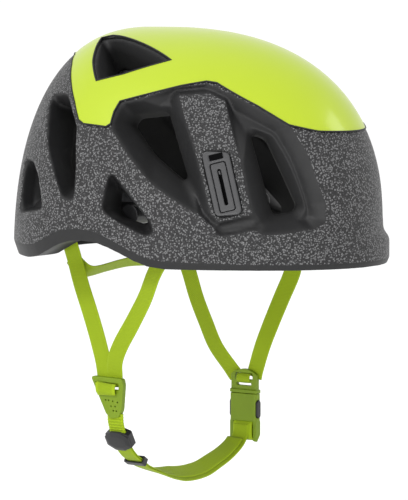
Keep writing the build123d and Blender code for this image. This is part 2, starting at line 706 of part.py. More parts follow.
# ---- side-release buckle on the wearer's left ----
with BuildPart() as buckle_male:
    with BuildSketch(Plane.YZ.offset(BUCKLE_X)):
        with BuildLine():
            front = BUCKLE_Y - MALE_HALF_WIDTH
            rear = BUCKLE_Y + MALE_HALF_WIDTH
            Line((front, MALE_FLANGE), (front, MALE_SHOULDER))
            ThreePointArc((front, MALE_SHOULDER), (BUCKLE_Y, MALE_TOP), (rear, MALE_SHOULDER))
            Line((rear, MALE_SHOULDER), (rear, MALE_FLANGE))
            Line((rear, MALE_FLANGE), (front, MALE_FLANGE))
        make_face()
        with Locations((BUCKLE_Y, MALE_TOP - 5.3)):
            Rectangle(WEBBING + 2, 4.6, mode=Mode.SUBTRACT)
        with Locations((BUCKLE_Y, MALE_TOP - 11)):
            SlotOverall(WEBBING, 2.2, mode=Mode.SUBTRACT)
    extrude(amount=MALE_THICKNESS / 2, both=True)
    with BuildSketch(Plane.XY.offset(MALE_FLANGE)):
        with Locations((BUCKLE_X, BUCKLE_Y)):
            RectangleRounded(BUCKLE_THICKNESS, BUCKLE_WIDTH + 1, BUCKLE_CORNER)
    extrude(amount=BUCKLE_JOIN - MALE_FLANGE + SIDE_GAP)
    with BuildSketch(Plane.XY.offset(BUCKLE_JOIN + SIDE_GAP)):
        for shift, wide in ((0, 3.6), (-PRONG_Y, PRONG_WIDTH), (PRONG_Y, PRONG_WIDTH)):
            with Locations((BUCKLE_X, BUCKLE_Y + shift)):
                Rectangle(PRONG_THICKNESS, wide)
    extrude(amount=-PRONG_LENGTH)
    for side in (-1, 1):
        with BuildSketch(Plane.YZ.offset(BUCKLE_X)):
            with BuildLine():
                foot = BUCKLE_JOIN + SIDE_GAP - PRONG_LENGTH
                edge = BUCKLE_Y + side * (PRONG_Y + PRONG_WIDTH / 2)
                Polyline((edge, foot), (edge + side * BARB, foot + 3), (edge, foot + 3), close=True)
            make_face()
        extrude(amount=PRONG_THICKNESS / 2, both=True)
buckle_male.part.label = "buckle_male"

with BuildPart() as buckle_female:
    with BuildSketch(Plane.XY.offset(BUCKLE_JOIN)):
        with Locations((BUCKLE_X, BUCKLE_Y)):
            RectangleRounded(BUCKLE_THICKNESS, BUCKLE_WIDTH, BUCKLE_CORNER)
    extrude(amount=FEMALE_BOTTOM - BUCKLE_JOIN)
    with BuildSketch(Plane.XY.offset(BUCKLE_JOIN)):
        with Locations((BUCKLE_X, BUCKLE_Y)):
            Rectangle(BUCKLE_THICKNESS - 2 * BUCKLE_WALL, BUCKLE_WIDTH - 2 * BUCKLE_WALL)
    extrude(amount=-POCKET_DEPTH, mode=Mode.SUBTRACT)
    with BuildSketch(Plane.XZ.offset(-BUCKLE_Y)):
        with Locations((BUCKLE_X, (TAB_TOP + TAB_BOTTOM) / 2)):
            SlotOverall(
                TAB_TOP - TAB_BOTTOM + 2 * TAB_GAP, TAB_THICKNESS + 2 * TAB_GAP, rotation=90
            )
    extrude(amount=BUCKLE_WIDTH, both=True, mode=Mode.SUBTRACT)
    for side in (-1, 1):
        with BuildSketch(Plane.XZ.offset(-(BUCKLE_Y + side * (BUCKLE_WIDTH / 2 - EAR_WIDTH / 2)))):
            with BuildLine():
                Polyline(
                    (BUCKLE_X - 3, FEMALE_BOTTOM),
                    (BUCKLE_X + 3, FEMALE_BOTTOM),
                    (BUCKLE_X + 3, LADDER_BOTTOM + 5),
                    (BUCKLE_X - 1, LADDER_BOTTOM),
                    (BUCKLE_X - 3, LADDER_BOTTOM + 1),
                    close=True,
                )
            make_face()
        extrude(amount=EAR_WIDTH / 2, both=True)
    for z in (LADDER_BAR_Z, LADDER_BOTTOM + 2.5):
        with BuildSketch(Plane.XZ.offset(-BUCKLE_Y)):
            with Locations((BUCKLE_X - 0.4, z)):
                Circle(BAR_RADIUS)
        extrude(amount=BUCKLE_WIDTH / 2 - EAR_WIDTH / 2, both=True)
buckle_female.part.label = "buckle_female"

with BuildPart() as ladder_wrap:
    with BuildSketch(Plane.XZ.offset(-BUCKLE_Y)):
        with Locations((BUCKLE_X - 0.4, LADDER_BAR_Z)):
            Circle(BAR_RADIUS + WEBBING_THICKNESS)
            Circle(BAR_RADIUS, mode=Mode.SUBTRACT)
    extrude(amount=WEBBING / 2, both=True)
ladder_wrap.part.label = "ladder_wrap"


def release_tab(side):
    inside = BUCKLE_WIDTH / 2 - BUCKLE_WALL - TAB_FLANGE_GAP
    with BuildPart() as solid:
        with BuildSketch(Plane.XZ.offset(-(BUCKLE_Y + side * inside))):
            with Locations((BUCKLE_X, (TAB_TOP + TAB_BOTTOM) / 2)):
                SlotOverall(TAB_TOP - TAB_BOTTOM, TAB_THICKNESS, rotation=90)
        extrude(amount=-side * (BUCKLE_WALL + TAB_FLANGE_GAP + TAB_PROUD))
        fillet(solid.faces().sort_by(Axis.Y)[-1 if side > 0 else 0].edges(), 0.6)
        with BuildSketch(Plane.XZ.offset(-(BUCKLE_Y + side * inside))):
            with Locations((BUCKLE_X, (TAB_TOP + TAB_BOTTOM) / 2)):
                Rectangle(BUCKLE_THICKNESS - 2 * BUCKLE_WALL - 2 * TAB_GAP, TAB_TOP - TAB_BOTTOM + TAB_LIP)
        extrude(amount=side * TAB_FLANGE)
    return solid.part


with BuildPart() as release_tab_front:
    add(release_tab(-1))
release_tab_front.part.label = "release_tab_front"

with BuildPart() as release_tab_rear:
    add(release_tab(1))
release_tab_rear.part.label = "release_tab_rear"

PIECES = [
    foam_shell, crown_cap, clip_base_right, clip_base_left, clip_tongue_right, clip_tongue_left,
    anchor_front_right, anchor_front_left, anchor_rear_right, anchor_rear_left,
    brow_pad, crown_pad, pivot_posts, cradle_arm_right, cradle_arm_left, nape_bridge, nape_pad,
    strap_front_right, strap_rear_right, strap_front_left, strap_rear_left, nape_strap,
    strap_divider, divider_loop, buckle_loop, lower_strap, chin_strap, strap_tail,
    strap_adjuster, strap_keeper, buckle_male, buckle_female, ladder_wrap,
    release_tab_front, release_tab_rear,
]
os.makedirs("parts", exist_ok=True)
for piece in PIECES:
    export_step(piece.part, "parts/" + piece.part.label + ".step")
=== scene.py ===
import math

import bmesh
import bpy
import numpy as np
from bpy.props import FloatProperty, FloatVectorProperty, IntProperty, PointerProperty
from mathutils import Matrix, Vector


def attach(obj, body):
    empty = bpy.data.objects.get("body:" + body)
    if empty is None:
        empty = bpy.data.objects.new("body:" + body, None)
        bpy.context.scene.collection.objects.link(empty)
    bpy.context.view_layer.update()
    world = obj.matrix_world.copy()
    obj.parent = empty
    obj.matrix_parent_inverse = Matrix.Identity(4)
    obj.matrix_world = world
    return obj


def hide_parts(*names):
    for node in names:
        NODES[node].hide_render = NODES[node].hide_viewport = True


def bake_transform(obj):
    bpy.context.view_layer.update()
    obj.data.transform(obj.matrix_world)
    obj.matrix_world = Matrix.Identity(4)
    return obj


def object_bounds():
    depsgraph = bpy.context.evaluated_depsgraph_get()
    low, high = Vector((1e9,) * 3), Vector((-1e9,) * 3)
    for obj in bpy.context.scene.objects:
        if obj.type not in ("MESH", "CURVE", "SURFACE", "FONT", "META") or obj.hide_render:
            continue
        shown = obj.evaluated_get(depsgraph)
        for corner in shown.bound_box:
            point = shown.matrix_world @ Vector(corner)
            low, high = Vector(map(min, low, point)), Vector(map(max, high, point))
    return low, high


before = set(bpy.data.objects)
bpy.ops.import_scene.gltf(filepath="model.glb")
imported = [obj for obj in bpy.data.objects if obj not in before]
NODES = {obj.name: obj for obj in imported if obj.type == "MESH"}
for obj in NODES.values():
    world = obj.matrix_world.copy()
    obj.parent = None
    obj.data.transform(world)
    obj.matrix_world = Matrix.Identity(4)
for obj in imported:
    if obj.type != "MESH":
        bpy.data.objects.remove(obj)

bl_info = {
    "name": "Climbing helmet",
    "version": (1, 0, 0),
    "blender": (4, 5, 0),
    "location": "3D View > Sidebar > Helmet",
    "description": "Builds the foam shell, cap, harness, buckle and pads of a climbing helmet",
    "category": "Add Mesh",
}

CAD_BOX = [[float(c) for c in corner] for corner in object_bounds()]

# the shell's form, in metres, as the frame has it: a dome of half ellipses and a lip at the brim
HALF_WIDTH = 0.110
FRONT_REACH = 0.172
REAR_REACH = 0.100
HEIGHT = 0.160
WIDEST_Y = 0.034
BROW_HEIGHT = 0.026
REAR_CURL = 0.028
SIDE_POWER = 2.2
FRONT_POWER = 2.5
REAR_POWER = 2.8
LIP_REACH = 0.178
LIP_SIDE = 0.107
LIP_TOP = 0.017
LIP_FADE = 0.008
LIP_TAPER = 0.008
# along the helmet, the rim's height and the height of the smooth band above it
RIM_LINE = (
    (-0.150, 0.0), (-0.038, 0.0), (-0.028, 0.0012), (-0.018, 0.0045), (-0.008, 0.009),
    (0.002, 0.013), (0.012, 0.016), (0.024, 0.017), (0.034, 0.0162), (0.044, 0.0135),
    (0.054, 0.009), (0.066, 0.004), (0.078, 0.002), (0.145, 0.002),
)
BAND_LINE = ((-0.150, 0.004), (-0.100, 0.004), (-0.040, 0.0055), (0.020, 0.008), (0.150, 0.0105))
# the lamp clip's plane, and in it the recess round the clip and the pillar that stands in the recess
CLIP_ORIGIN = Vector((-0.080, -0.074, 0.058))
CLIP_ACROSS = Vector((0.46921, -0.84880, 0.24369))
CLIP_OUT = Vector((-0.88072, -0.42961, 0.19941))
CLIP_UP = CLIP_OUT.cross(CLIP_ACROSS)
RECESS = [
    (-0.058, 0.072), (-0.019, 0.075), (0.004, 0.0715), (0.018, 0.060), (0.039, 0.042), (0.053, 0.029),
    (0.060, 0.008), (0.064, -0.027), (0.061, -0.039), (0.052, -0.043), (0.021, -0.037), (-0.002, -0.033),
    (-0.014, -0.026), (-0.043, 0.018), (-0.066, 0.057),
]
LABEL_PLATE = ((-0.0046, 0.0164, 0.0001), (0.0046, 0.0204, 0.0005))
# SLOT_PLATE is a near-black plate 2 mm under the clip's face, painted shade for the dark inside of the slot;
# LABEL_PLATE is the clip's dark label
SLOT_PLATE = ((-0.0026, -0.0160, -0.0023), (0.0026, 0.0110, -0.00195))
PILLAR = [
    (-0.016, 0.067), (0.004, 0.063), (0.013, 0.055), (0.014, 0.031), (0.015, 0.011), (0.0155, -0.021),
    (0.0145, -0.029), (-0.007, -0.0255), (-0.0115, -0.017), (-0.0115, 0.004), (-0.013, 0.024),
    (-0.015, 0.049),
]
RECESS_DEPTH = 0.011
RECESS_SLOPE = 1.35
# the rear vent's plane, its middle in that plane, and how far in and how far out its throat narrows
REAR_VENT_ORIGIN = Vector((-0.098, 0.075, 0.052))
REAR_VENT_OUT = Vector((-0.98106, 0.17299, 0.08716))
REAR_VENT_ACROSS = Vector((-0.17365, -0.98481, 0.0))
REAR_VENT_UP = REAR_VENT_OUT.cross(REAR_VENT_ACROSS)
REAR_VENT_MIDDLE = -0.007
THROAT_SHARE = 0.55
THROAT_RADIUS = 0.012
THROAT_FADE = 0.020
MOUTH_DEPTH = 0.010
MOUTH_FADE = 0.008
FLANK_DEPTH = 0.040
VENT_REACH = 0.045
BAND_FULL = 0.0105
BAND_LEAST = 0.45
AXIS_RADIUS = 0.03
SKIN_DEPTH = 0.00075
CAP_SKIN = 0.00005
CROWN_RADIUS = 0.032
SEAM_DEPTH = 0.0009
SEAM_ANGLE = math.radians(40)
CURVE_STEPS = 24
# webbing section: how square its edges and its faces are
EDGE_POWER = 0.42
FACE_POWER = 0.55


class HelmetSizes(bpy.types.PropertyGroup):
    """Sizes of the made pieces"""

    foam_grid: FloatProperty(
        name="Foam grid", description="Mesh size of the foam shell", default=0.0016, unit="LENGTH"
    )
    foam_softening: IntProperty(
        name="Foam softening", description="Rounding passes on the foam's edges", default=4, min=0
    )
    rim_cut: FloatProperty(
        name="Rim cut", description="How far the band at the rim leans in", default=0.0038, unit="LENGTH"
    )
    plastic_grid: FloatProperty(
        name="Plastic grid", description="Mesh size of the small mouldings", default=0.00036, unit="LENGTH"
    )
    # painted shadow: the dark line round the cap is a tube standing in for the shadow of the gap at the
    # cap's edge
    seam_radius: FloatProperty(
        name="Seam radius", description="Half the width of the dark line round the cap", default=0.00055,
        unit="LENGTH",
    )
    webbing_width: FloatProperty(
        name="Webbing width", description="Width of the harness webbing", default=0.013, unit="LENGTH"
    )
    webbing_thickness: FloatProperty(
        name="Webbing thickness", description="Thickness of the harness webbing", default=0.0013,
        unit="LENGTH",
    )
    pad_swell: FloatProperty(
        name="Pad swell", description="Furthest a point of a pad may move as it fills", default=0.0016,
        unit="LENGTH",
    )


def colour_of(name, description, value):
    return FloatVectorProperty(
        name=name, description=description, default=value, subtype="COLOR", min=0, max=1
    )


class HelmetColours(bpy.types.PropertyGroup):
    """Colours of the finishes, linear"""

    cap: colour_of("Cap", "Lime of the crown cap", (0.368, 0.478, 0.007))
    foam: colour_of("Foam", "Dark grey of the foam", (0.011, 0.011, 0.0115))
    # painted highlight: this bright colour is laid on the tops of the foam's stipple bumps as painted glints
    foam_glint_paint: colour_of("Foam painted glints", "Bright flecks of the foam's outer skin", (0.165, 0.165, 0.168))
    webbing: colour_of("Webbing", "Green of the harness webbing", (0.258, 0.362, 0.005))
    moulding: colour_of("Green moulding", "Olive of the divider and buckle", (0.140, 0.215, 0.004))
    black: colour_of("Black plastic", "Black of the adjuster, keeper and tabs", (0.008, 0.008, 0.009))
    clip: colour_of("Clip", "Dark grey of the lamp clips", (0.042, 0.042, 0.044))
    pad: colour_of("Pad", "Black of the comfort pads", (0.016, 0.016, 0.018))


# ---- material building ----
class Value:
    """A number in a material; arithmetic on it adds Math nodes."""

    def __init__(self, finish, socket):
        self.finish = finish
        self.socket = socket

    def math(self, operation, *others):
        return self.finish.node("ShaderNodeMath", {"operation": operation}, self, *others)

    def __add__(self, other):
        return self.math("ADD", other)

    def __mul__(self, other):
        return self.math("MULTIPLY", other)

    def __sub__(self, other):
        return self.math("SUBTRACT", other)

    def __rsub__(self, other):
        return self.finish.node("ShaderNodeMath", {"operation": "SUBTRACT"}, other, self)

    def __truediv__(self, other):
        return self.math("DIVIDE", other)

    def __pow__(self, other):
        return self.math("POWER", other)

    def __gt__(self, other):
        return self.math("GREATER_THAN", other)

    def __lt__(self, other):
        return self.math("LESS_THAN", other)

    def at_least(self, other):
        return self.math("MAXIMUM", other)

    def at_most(self, other):
        return self.math("MINIMUM", other)

    def sine(self):
        return self.math("SINE")

    def size(self):
        return self.math("ABSOLUTE")

    __radd__ = __add__
    __rmul__ = __mul__


class Finish:
    """One material being wired up."""

    def __init__(self, name):
        self.material = bpy.data.materials.new(name)
        self.material.use_nodes = True
        self.tree = self.material.node_tree
        self.tree.nodes.clear()
        self.shader = self.tree.nodes.new("ShaderNodeBsdfPrincipled")
        output = self.tree.nodes.new("ShaderNodeOutputMaterial")
        self.tree.links.new(self.shader.outputs[0], output.inputs[0])

    def put(self, socket, value):
        if isinstance(value, Value):
            self.tree.links.new(value.socket, socket)
        elif value is not None:
            socket.default_value = value

    def node(self, kind, settings=None, *values, out=0, **named):
        made = self.tree.nodes.new(kind)
        for key, setting in (settings or {}).items():
            if key == "stops":
                ramp = made.color_ramp.elements
                while len(ramp) < len(setting):
                    ramp.new(0.5)
                for stop, (place, shade) in zip(ramp, setting):
                    stop.position = place
                    stop.color = (shade, shade, shade, 1)
            else:
                setattr(made, key, setting)
        for i, value in enumerate(values):
            self.put(made.inputs[i], value)
        for key, value in named.items():
            self.put(made.inputs[key], value)
        return Value(self, made.outputs[out])

    def place(self):
        return self.node("ShaderNodeTexCoord", out="Object")

    def attribute(self, name, out="Fac"):
        return self.node("ShaderNodeAttribute", {"attribute_name": name}, out=out)

    def parts(self, vector):
        split = self.node("ShaderNodeSeparateXYZ", None, vector).socket.node
        return [Value(self, socket) for socket in split.outputs]

    def blend(self, factor, first, second, way="MIX"):
        mixed = self.tree.nodes.new("ShaderNodeMix")
        mixed.data_type = "RGBA"
        mixed.blend_type = way
        for index, value in ((0, factor), (6, first), (7, second)):
            self.put(mixed.inputs[index], value if isinstance(value, (Value, float, int)) else rgba(value))
        return Value(self, mixed.outputs[2])

    def grain(self, vector, scale, detail=2.0, roughness=0.5):
        return self.node(
            "ShaderNodeTexNoise", None, Vector=vector, Scale=scale, Detail=detail, Roughness=roughness
        )

    def cells(self, vector, scale, feature="F1", randomness=1.0):
        return self.node(
            "ShaderNodeTexVoronoi", {"feature": feature}, Vector=vector, Scale=scale, Randomness=randomness,
            out="Distance",
        )

    def ramp(self, value, stops):
        return self.node("ShaderNodeValToRGB", {"stops": stops}, value)

    def bump(self, height, distance, strength=1.0, onto=None):
        return self.node(
            "ShaderNodeBump", None, Height=height, Distance=distance, Strength=strength, Normal=onto
        )

    def surface(self, **values):
        for name, value in values.items():
            self.put(self.shader.inputs[name.replace("_", " ")], value)
        return self.material


def rgba(colour):
    return (colour[0], colour[1], colour[2], 1.0)


def shade(colour, factor):
    return [min(1.0, c * factor) for c in colour]


def colours():
    return bpy.context.scene.helmet_colours


def sizes():
    return bpy.context.scene.helmet_sizes


def depth_in_shell(f):
    """How far a point lies under the shell's outer dome, from the same half ellipses."""
    x, y, z = f.parts(f.place())
    level = z.at_least(0.0) / HEIGHT
    half = HALF_WIDTH * (1 - (level ** SIDE_POWER).at_most(0.999)) ** (1 / SIDE_POWER)
    front = (z - BROW_HEIGHT).at_least(0.0) / (HEIGHT - BROW_HEIGHT)
    front = FRONT_REACH * (1 - (front ** FRONT_POWER).at_most(0.999)) ** (1 / FRONT_POWER)
    rear = (z + REAR_CURL) / (HEIGHT + REAR_CURL)
    rear = REAR_REACH * (1 - (rear.at_least(0.0) ** REAR_POWER).at_most(0.999)) ** (1 / REAR_POWER)
    back = y - WIDEST_Y
    is_rear = back > 0.0
    reach = front * (1 - is_rear) + rear * is_rear
    across = x / half
    along = back / reach
    share = (across * across + along * along) ** 0.5
    radius = (x * x + back * back) ** 0.5
    return radius / share.at_least(0.01) - radius


def foam_finish():
    f = Finish("stippled foam")
    where = f.place()
    depth = depth_in_shell(f)
    outer = depth < SKIN_DEPTH
    # inside grows from 0 to 1 between 10 and 22 mm under the dome; it drives painted shade and extra
    # roughness
    inside = ((depth - 0.010) / 0.012).at_least(0.0).at_most(1.0)
    above = f.attribute("above_rim") > 1.0
    skin = outer * above
    cells = f.cells(where, 700.0)
    fine = f.grain(where, 1300.0, 2.0, 0.6)
    patch = f.grain(where, 45.0, 2.0)
    # painted highlight: the bright flecks sit at the cell centres, where the bump map puts the bump tops, as
    # painted glints
    glint_paint = f.ramp(fine * 0.45 - cells * 0.9 + 0.45, ((0.22, 0.0), (0.50, 1.0)))
    worn = f.grain(where, 160.0, 3.0, 0.6)
    smooth = f.blend(worn, shade(colours().foam, 0.85), shade(colours().foam, 1.35))
    # painted shade: deep in the shell and its vent throats the foam colour fades towards near black, for the
    # shade in there
    smooth = f.blend(inside * 0.85, smooth, (0.002, 0.002, 0.002))
    dark = f.blend(patch, shade(colours().foam, 0.95), shade(colours().foam, 1.6))
    stipple = f.blend(glint_paint, dark, colours().foam_glint_paint)
    height = (1 - cells) * 0.7 + fine * 0.5
    rough = 0.46 - skin * 0.06 + fine * 0.12
    rough = rough + inside * 0.35
    normal = f.bump(height * skin + worn * (1 - skin) * 0.12, 0.0009, 1.0)
    f.surface(Base_Color=f.blend(skin, smooth, stipple), Roughness=rough, Normal=normal)
    return f.surface(Specular_IOR_Level=0.32)


def cap_finish():
    f = Finish("lime cap")
    where = f.place()
    cloud = f.grain(where, 9.0, 2.0)
    peel = f.grain(where, 420.0, 2.0)
    scuff = f.ramp(f.grain(where, 60.0, 6.0, 0.7), ((0.60, 0.0), (0.78, 1.0)))
    tone = f.blend(cloud, shade(colours().cap, 0.94), shade(colours().cap, 1.05))
    tone = f.blend(scuff * 0.10, tone, shade(colours().cap, 1.25))
    x, y, z = f.parts(where)
    # painted shade: away from the crown, the cap's side walls below its outer skin, along its edges and
    # vents, are painted near black for the shade there
    beside_crown = (x * x + (y - WIDEST_Y) * (y - WIDEST_Y)) > CROWN_RADIUS ** 2
    tone = f.blend((depth_in_shell(f) > -CAP_SKIN) * beside_crown, tone, (0.006, 0.006, 0.006))
    return f.surface(
        Base_Color=tone, Roughness=0.33 + cloud * 0.05 + scuff * 0.10, Normal=f.bump(peel, 0.00006, 0.35),
        Coat_Weight=0.40, Coat_Roughness=0.16, Specular_IOR_Level=0.30,
    )


def plastic_finish(name, colour, roughness, coarse=900.0, depth=0.00008, shine=0.45):
    f = Finish(name)
    where = f.place()
    spark = f.grain(where, coarse, 2.0, 0.6)
    cloud = f.grain(where, 70.0, 3.0)
    worn = f.ramp(f.grain(where, 260.0, 5.0, 0.7), ((0.58, 0.0), (0.80, 1.0)))
    tone = f.blend(cloud, shade(colour, 0.86), shade(colour, 1.14))
    tone = f.blend(worn * 0.35, tone, shade(colour, 1.45))
    return f.surface(
        Base_Color=tone, Roughness=roughness + spark * 0.12, Normal=f.bump(spark, depth, 0.6),
        Specular_IOR_Level=shine,
    )


def webbing_finish(name="green webbing", ribs=False):
    f = Finish(name)
    weave = f.attribute("weave", "Vector")
    along, across, unused = f.parts(weave)
    turn = 2 * math.pi
    twill = ((along * (turn / 0.0011) + (across * (turn / 0.0026)).sine() * 2.2).sine() + 1) * 0.5
    cord = ((across * (turn / 0.00085)).sine() + 1) * 0.5
    edge = (across.size() - 0.0052).at_least(0.0) * (1 / 0.0013)
    fuzz = f.grain(f.place(), 2600.0, 2.0)
    sag = f.grain(f.place(), 34.0, 2.0)
    thread = twill * 0.6 + cord * 0.4
    tone = f.blend(thread, shade(colours().webbing, 0.62), shade(colours().webbing, 1.12))
    tone = f.blend(sag * 0.30, tone, shade(colours().webbing, 0.70))
    tone = f.blend(edge.at_most(1.0) * 0.35, tone, shade(colours().webbing, 1.35))
    height = thread + fuzz * 0.25
    if ribs:
        stitch = ((along * (turn / 0.0021)).sine() > 0.25) * 1.0
        tone = f.blend(stitch * 0.55, tone, shade(colours().webbing, 1.5))
        height = height + stitch * 2.0
    return f.surface(
        Base_Color=tone, Roughness=0.62 + fuzz * 0.2, Normal=f.bump(height, 0.00016, 0.7),
        Sheen_Weight=0.05, Sheen_Roughness=0.5, Specular_IOR_Level=0.18,
    )


def pad_finish():
    f = Finish("pad fabric")
    where = f.place()
    x, y, z = f.parts(where)
    turn = 2 * math.pi / 0.0016
    knit = ((x * turn).sine() * (z * turn).sine() + (y * turn).sine() + 2) * 0.25
    lint = f.grain(where, 900.0, 4.0, 0.7)
    tone = f.blend(knit, shade(colours().pad, 0.6), shade(colours().pad, 2.1))
    tone = f.blend(lint * 0.25, tone, shade(colours().pad, 3.2))
    return f.surface(
        Base_Color=tone, Roughness=0.85 + lint * 0.1, Normal=f.bump(knit + lint * 0.4, 0.0002, 0.7),
        Sheen_Weight=0.35, Sheen_Roughness=0.4, Specular_IOR_Level=0.25,
    )


MAKERS = {
    "foam": foam_finish,
    "cap": cap_finish,
    # painted shadow: near-black finish of the tube along the cap's edges
    "seam": lambda: plastic_finish("cap seam shadow", shade(colours().black, 0.35), 0.55),
    # near-black finish for the clip's dark label, and painted shade on the plate in the clip's slot
    "slot_shade_and_label": lambda: plastic_finish("slot shade and label black", shade(colours().black, 0.25), 0.8, shine=0.05),
    "clip": lambda: plastic_finish("clip grey", colours().clip, 0.34, 1400.0, 0.00004),
    "black": lambda: plastic_finish("satin black", colours().black, 0.36),
    "green": lambda: plastic_finish("olive moulding", colours().moulding, 0.42, 1500.0, 0.00004, 0.3),
    "webbing": webbing_finish,
    "stitched": lambda: webbing_finish("stitched webbing", True),
    "pad": pad_finish,
}
FINISHES = {}


def finish(name):
    if name not in FINISHES:
        FINISHES[name] = MAKERS[name]()
    return FINISHES[name]


# ---- mesh building ----
def new_object(name, mesh):
    made = bpy.data.objects.new(name, mesh)
    bpy.context.scene.collection.objects.link(made)
    return made


def mesh_of(bm, name):
    bmesh.ops.recalc_face_normals(bm, faces=bm.faces)
    mesh = bpy.data.meshes.new(name)
    bm.to_mesh(mesh)
    bm.free()
    return mesh


def merged_copy(node):
    bm = bmesh.new()
    bm.from_mesh(NODES[node].data)
    bmesh.ops.remove_doubles(bm, verts=bm.verts, dist=2e-6)
    return bm


def shade_by_angle(mesh, degrees):
    bm = bmesh.new()
    bm.from_mesh(mesh)
    for face in bm.faces:
        face.smooth = True
    for edge in bm.edges:
        edge.smooth = len(edge.link_faces) == 2 and edge.calc_face_angle(0) < math.radians(degrees)
    bm.to_mesh(mesh)
    bm.free()


def with_modifier(mesh, kind, **settings):
    """The mesh as one modifier leaves it."""
    holder = new_object("holder", mesh)
    step = holder.modifiers.new("step", kind)
    for key, value in settings.items():
        setattr(step, key, value)
    graph = bpy.context.evaluated_depsgraph_get()
    graph.update()
    result = bpy.data.meshes.new_from_object(holder.evaluated_get(graph))
    bpy.data.objects.remove(holder)
    return result


def remeshed(mesh, grid):
    return with_modifier(mesh, "REMESH", mode="VOXEL", voxel_size=grid, use_smooth_shade=True)


def softened(mesh, passes, amount=0.5):
    bm = bmesh.new()
    bm.from_mesh(mesh)
    for _ in range(passes):
        bmesh.ops.smooth_vert(
            bm, verts=bm.verts, factor=amount, use_axis_x=True, use_axis_y=True, use_axis_z=True
        )
    for face in bm.faces:
        face.smooth = True
    bm.to_mesh(mesh)
    bm.free()
    return mesh


def settle(made, body, finish_name, slot, *nodes):
    """Gives a finished piece its finish and its body, and hides the nodes it stands for."""
    made.data.materials.clear()
    made.data.materials.append(finish(finish_name))
    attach(made, body)
    if nodes:
        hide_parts(*nodes)
    return made


def moulded(name, node, body, finish_name, slot, grid, passes=3):
    """A small moulding with rounded edges, from its node."""
    mesh = mesh_of(merged_copy(node), name)
    mesh = softened(remeshed(mesh, grid), passes)
    mesh.name = name
    return settle(new_object(name, mesh), body, finish_name, slot, node)


def points_of(mesh):
    flat = np.empty(len(mesh.vertices) * 3)
    mesh.vertices.foreach_get("co", flat)
    return flat.reshape(-1, 3)


def smooth_line(points, steps):
    """Even points on a smooth curve through the given ones."""
    given = [Vector(p) for p in points]
    ends = [given[0] * 2 - given[1]] + given + [given[-1] * 2 - given[-2]]
    dense = []
    for a, b, c, d in zip(ends, ends[1:], ends[2:], ends[3:]):
        for i in range(CURVE_STEPS):
            t = i / CURVE_STEPS
            square = (2 * a - 5 * b + 4 * c - d) * t * t
            cube = (3 * b - 3 * c + d - a) * t * t * t
            dense.append(0.5 * (2 * b + (c - a) * t + square + cube))
    dense.append(given[-1])
    reach = [0.0]
    for p, q in zip(dense, dense[1:]):
        reach.append(reach[-1] + (q - p).length)
    line = []
    at = 0
    for i in range(steps + 1):
        want = reach[-1] * i / steps
        while at < len(reach) - 2 and reach[at + 1] < want:
            at += 1
        span = reach[at + 1] - reach[at]
        line.append(dense[at].lerp(dense[at + 1], (want - reach[at]) / span if span else 0))
    return line, reach[-1]


def band(points, across, steps=60, width=None, thickness=None, rise=None, shift=0.0):
    """Webbing along a smooth line. across is one direction, or several evenly spread along it."""
    width = width or sizes().webbing_width
    thickness = thickness or sizes().webbing_thickness
    line, length = smooth_line(points, steps)
    bm = bmesh.new()
    bmesh.ops.create_cone(bm, cap_ends=True, segments=20, radius1=1, radius2=1, depth=1)
    runs = [e for e in bm.edges if abs(e.verts[0].co.z - e.verts[1].co.z) > 0.5]
    bmesh.ops.subdivide_edges(bm, edges=runs, cuts=steps - 1)
    weave = bm.verts.layers.float_vector.new("weave")
    turns = [Vector(turn) for turn in across] if isinstance(across[0], tuple) else [Vector(across)] * 2
    frames = []
    for i, here in enumerate(line):
        ahead = (line[min(i + 1, steps)] - line[max(i - 1, 0)]).normalized()
        reach = i / steps * (len(turns) - 1)
        stage = min(int(reach), len(turns) - 2)
        side = turns[stage].lerp(turns[stage + 1], reach - stage)
        side = (side - ahead * side.dot(ahead)).normalized()
        frames.append((here, side, side.cross(ahead)))
    for v in bm.verts:
        i = round((v.co.z + 0.5) * steps)
        here, side, out = frames[i]
        angle = math.atan2(v.co.y, v.co.x)
        c, s = math.cos(angle), math.sin(angle)
        u = math.copysign(abs(c) ** EDGE_POWER, c) * width / 2
        w = math.copysign(abs(s) ** FACE_POWER, s) * thickness / 2
        swell = rise(i / steps) if rise else 1.0
        v[weave] = (length * i / steps, u, 0.0)
        drift = shift * min(max((i / steps - 0.28) / 0.15, 0), 1)
        v.co = here + side * (u + drift) + out * w * swell
    for face in bm.faces:
        face.smooth = True
    return bm


def joined(*bms):
    """Several bmeshes as one."""
    whole = bms[0]
    for other in bms[1:]:
        spare = bpy.data.meshes.new("spare")
        other.to_mesh(spare)
        other.free()
        whole.from_mesh(spare)
        bpy.data.meshes.remove(spare)
    return whole


def ring_band(centre, half_depth, half_height, along, width, thickness, steps=40):
    """Webbing wrapped once round a bar that runs along the given direction."""
    axis = Vector(along).normalized()
    flat = Vector((1, 0, 0))
    rise = axis.cross(flat)
    points = []
    for i in range(steps + 1):
        angle = 2 * math.pi * i / steps
        c, s = math.cos(angle), math.sin(angle)
        points.append(
            Vector(centre)
            + flat * math.copysign(abs(c) ** 0.6, c) * half_depth
            + rise * math.copysign(abs(s) ** 0.6, s) * half_height
        )
    return band(points, tuple(axis), steps=steps * 2, width=width, thickness=thickness)


def strap(name, body, finish_name, node, bm):
    """Finishes a run of webbing that stands for a node."""
    return settle(new_object(name, mesh_of(bm, name)), body, finish_name, "webbing", node)


def in_plane(p, origin, *axes):
    """Coordinates of points in a plane on the right flank; the left flank is folded over onto it."""
    folded = np.column_stack((-np.abs(p[:, 0]), p[:, 1], p[:, 2])) - np.array(origin)
    return [folded @ np.array(axis) for axis in axes]


